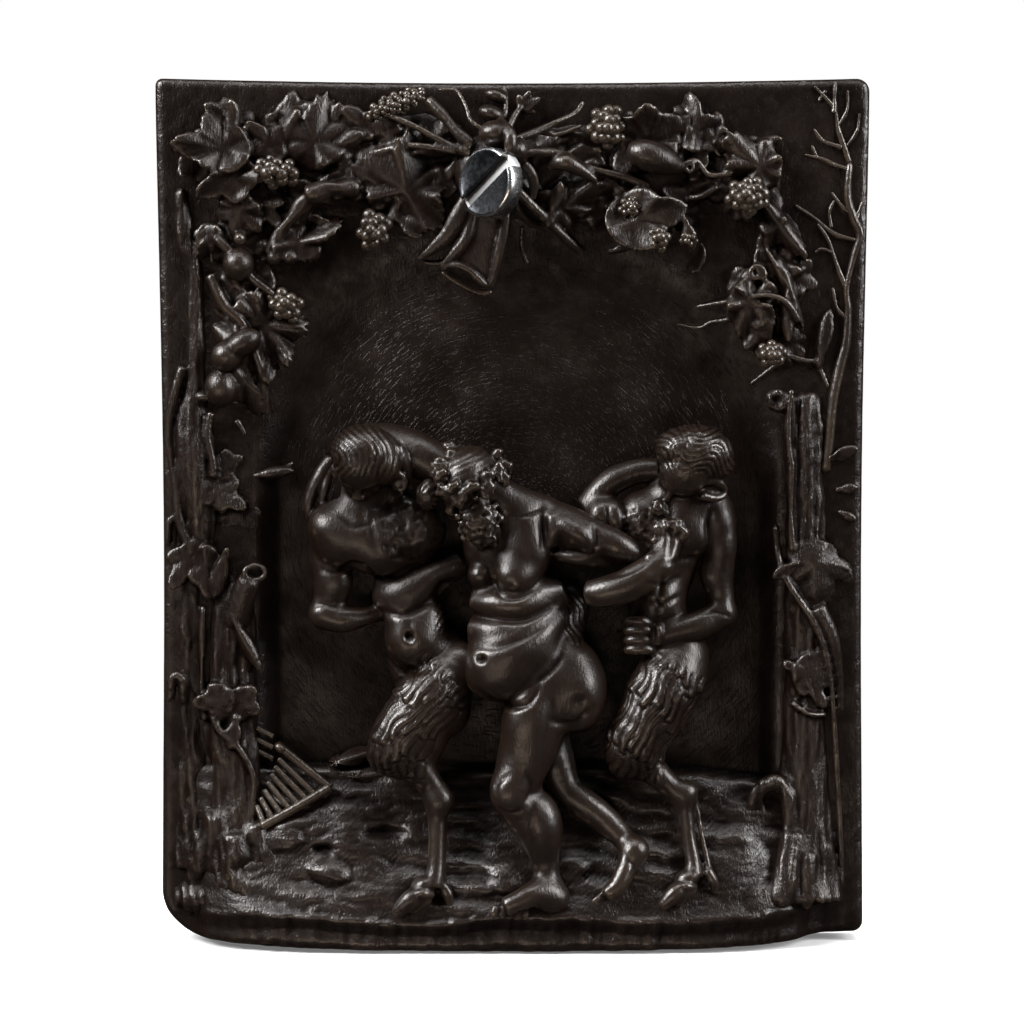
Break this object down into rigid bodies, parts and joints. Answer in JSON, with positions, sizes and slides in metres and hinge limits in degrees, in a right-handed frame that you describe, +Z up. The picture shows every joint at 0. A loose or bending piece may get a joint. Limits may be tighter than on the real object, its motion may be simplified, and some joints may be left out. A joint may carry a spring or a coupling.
{
  "type": "relief plaque",
  "caption": "Upright rectangular cast bronze relief: three figures between two trees under a vine garland, flat back, slotted screw through the bow at its top.",
  "frame": {"origin": "middle of the flat back, which lies against the wall", "axes": "+Z up the plaque, +X to the viewer's right, the relief looks towards -Y and the back towards +Y"},
  "size_m": [0.1571, 0.0283, 0.1914],
  "materials": {
    "patinated_bronze": "dark brown patina, semi-gloss, rubbed lighter on the high points",
    "polished_steel": "polished flat head with a brushed slot"
  },
  "bodies": {
    "root": {"relief_plaque": "patinated_bronze", "fixing_screw": "polished_steel"}
  },
  "joints": []
}
